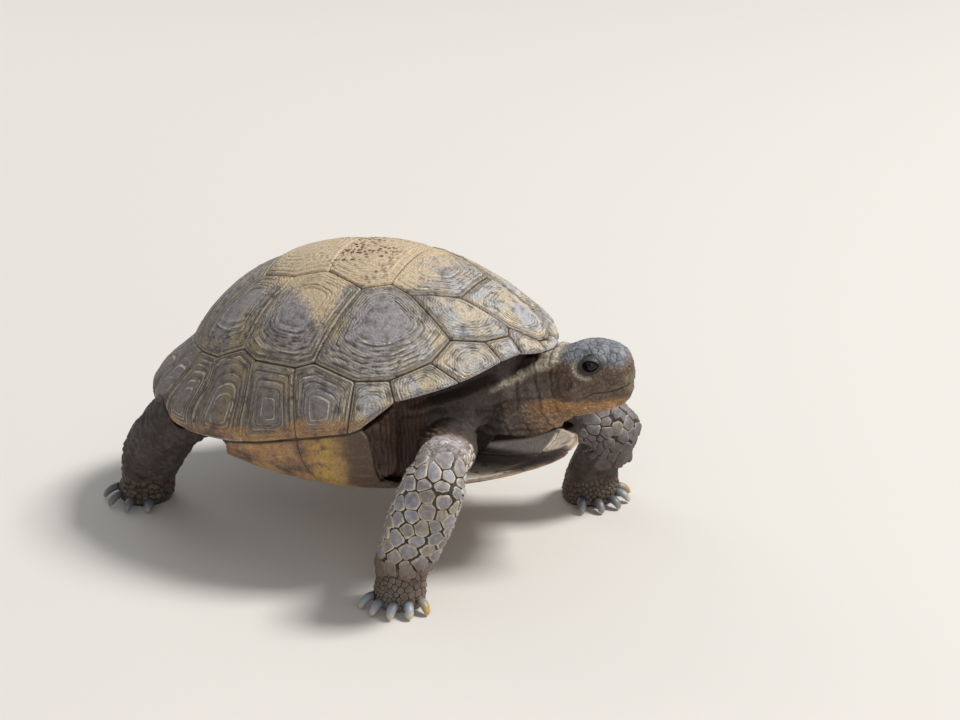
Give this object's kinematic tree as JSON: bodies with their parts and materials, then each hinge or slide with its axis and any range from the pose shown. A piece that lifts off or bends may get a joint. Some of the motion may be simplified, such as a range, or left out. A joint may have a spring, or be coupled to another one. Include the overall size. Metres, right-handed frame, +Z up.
{
  "type": "desert tortoise model",
  "caption": "Life-size still model of a walking desert tortoise: high domed shell of ringed plates, scaly legs, head reaching forward.",
  "frame": {"origin": "on the floor under the middle of the bounding box", "axes": "the animal faces -Y, its left side is +X, +Z is up"},
  "size_m": [0.2413, 0.3425, 0.1821],
  "materials": {
    "scute": "dry ridged horn",
    "plastron": "dry worn horn",
    "skin": "dry scaly hide",
    "claw_horn": "worn claw horn",
    "beak_horn": "worn beak horn",
    "eye": "wet"
  },
  "bodies": {
    "root": {"beak_lower": "beak_horn", "beak_upper": "beak_horn", "costal_left_1": "scute", "costal_left_2": "scute", "costal_left_3": "scute", "costal_left_4": "scute", "costal_right_1": "scute", "costal_right_2": "scute", "costal_right_3": "scute", "costal_right_4": "scute", "eye_left": "eye", "eye_right": "eye", "forefoot_left": "skin", "forefoot_left_claw_1": "claw_horn", "forefoot_left_claw_2": "claw_horn", "forefoot_left_claw_3": "claw_horn", "forefoot_left_claw_4": "claw_horn", "forefoot_left_claw_5": "claw_horn", "forefoot_right": "skin", "forefoot_right_claw_1": "claw_horn", "forefoot_right_claw_2": "claw_horn", "forefoot_right_claw_3": "claw_horn", "forefoot_right_claw_4": "claw_horn", "forefoot_right_claw_5": "claw_horn", "foreleg_left": "skin", "foreleg_right": "skin", "gular_horn": "plastron", "head": "skin", "hindfoot_left": "skin", "hindfoot_left_claw_1": "claw_horn", "hindfoot_left_claw_2": "claw_horn", "hindfoot_left_claw_3": "claw_horn", "hindfoot_left_claw_4": "claw_horn", "hindfoot_right": "skin", "hindfoot_right_claw_1": "claw_horn", "hindfoot_right_claw_2": "claw_horn", "hindfoot_right_claw_3": "claw_horn", "hindfoot_right_claw_4": "claw_horn", "hindleg_left": "skin", "hindleg_right": "skin", "marginals_bridge_left": "scute", "marginals_bridge_right": "scute", "marginals_front_left": "scute", "marginals_front_right": "scute", "marginals_rear_left": "scute", "marginals_rear_right": "scute", "neck": "skin", "nuchal": "scute", "plastron_bridge": "plastron", "plastron_front_lobe": "plastron", "plastron_hind_lobe": "plastron", "supracaudal": "scute", "tail": "skin", "trunk": "skin", "vertebral_1": "scute", "vertebral_2": "scute", "vertebral_3": "scute", "vertebral_4": "scute", "vertebral_5": "scute"}
  },
  "joints": []
}
